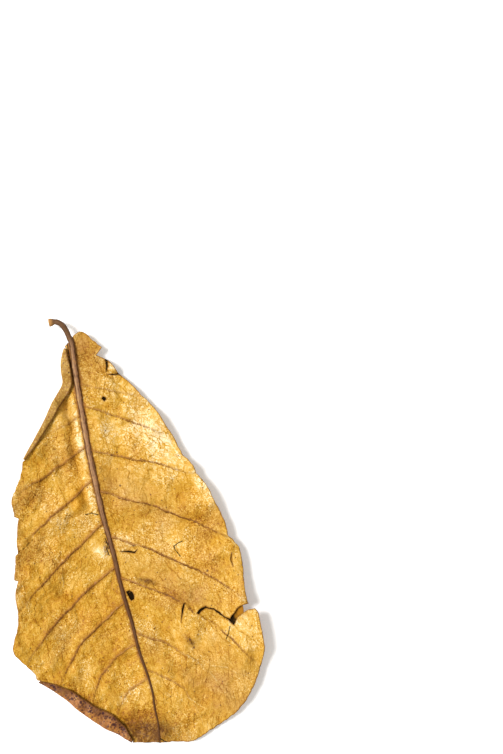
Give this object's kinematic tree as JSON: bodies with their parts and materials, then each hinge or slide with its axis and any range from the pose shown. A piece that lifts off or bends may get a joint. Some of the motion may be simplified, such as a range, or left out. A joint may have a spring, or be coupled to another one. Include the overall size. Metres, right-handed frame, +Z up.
{
  "type": "dried indian almond leaf",
  "caption": "Dried broad leaf lying with its ribbed lower face up, margins cupped and folded over in places, with a short hooked stalk.",
  "frame": {"origin": "centre of the leaf's box in plan, on the surface that the leaf lies on", "axes": "+Y along the midrib towards the stalk, +X to the right with the ribbed lower face up and the stalk at the far end, +Z up out of the ribbed face"},
  "size_m": [0.133, 0.239, 0.0127],
  "materials": {
    "dry_leaf": "dry, faintly glossy on its bumps, golden ochre with brown mottling"
  },
  "bodies": {
    "root": {"leaf": "dry_leaf"}
  },
  "joints": []
}
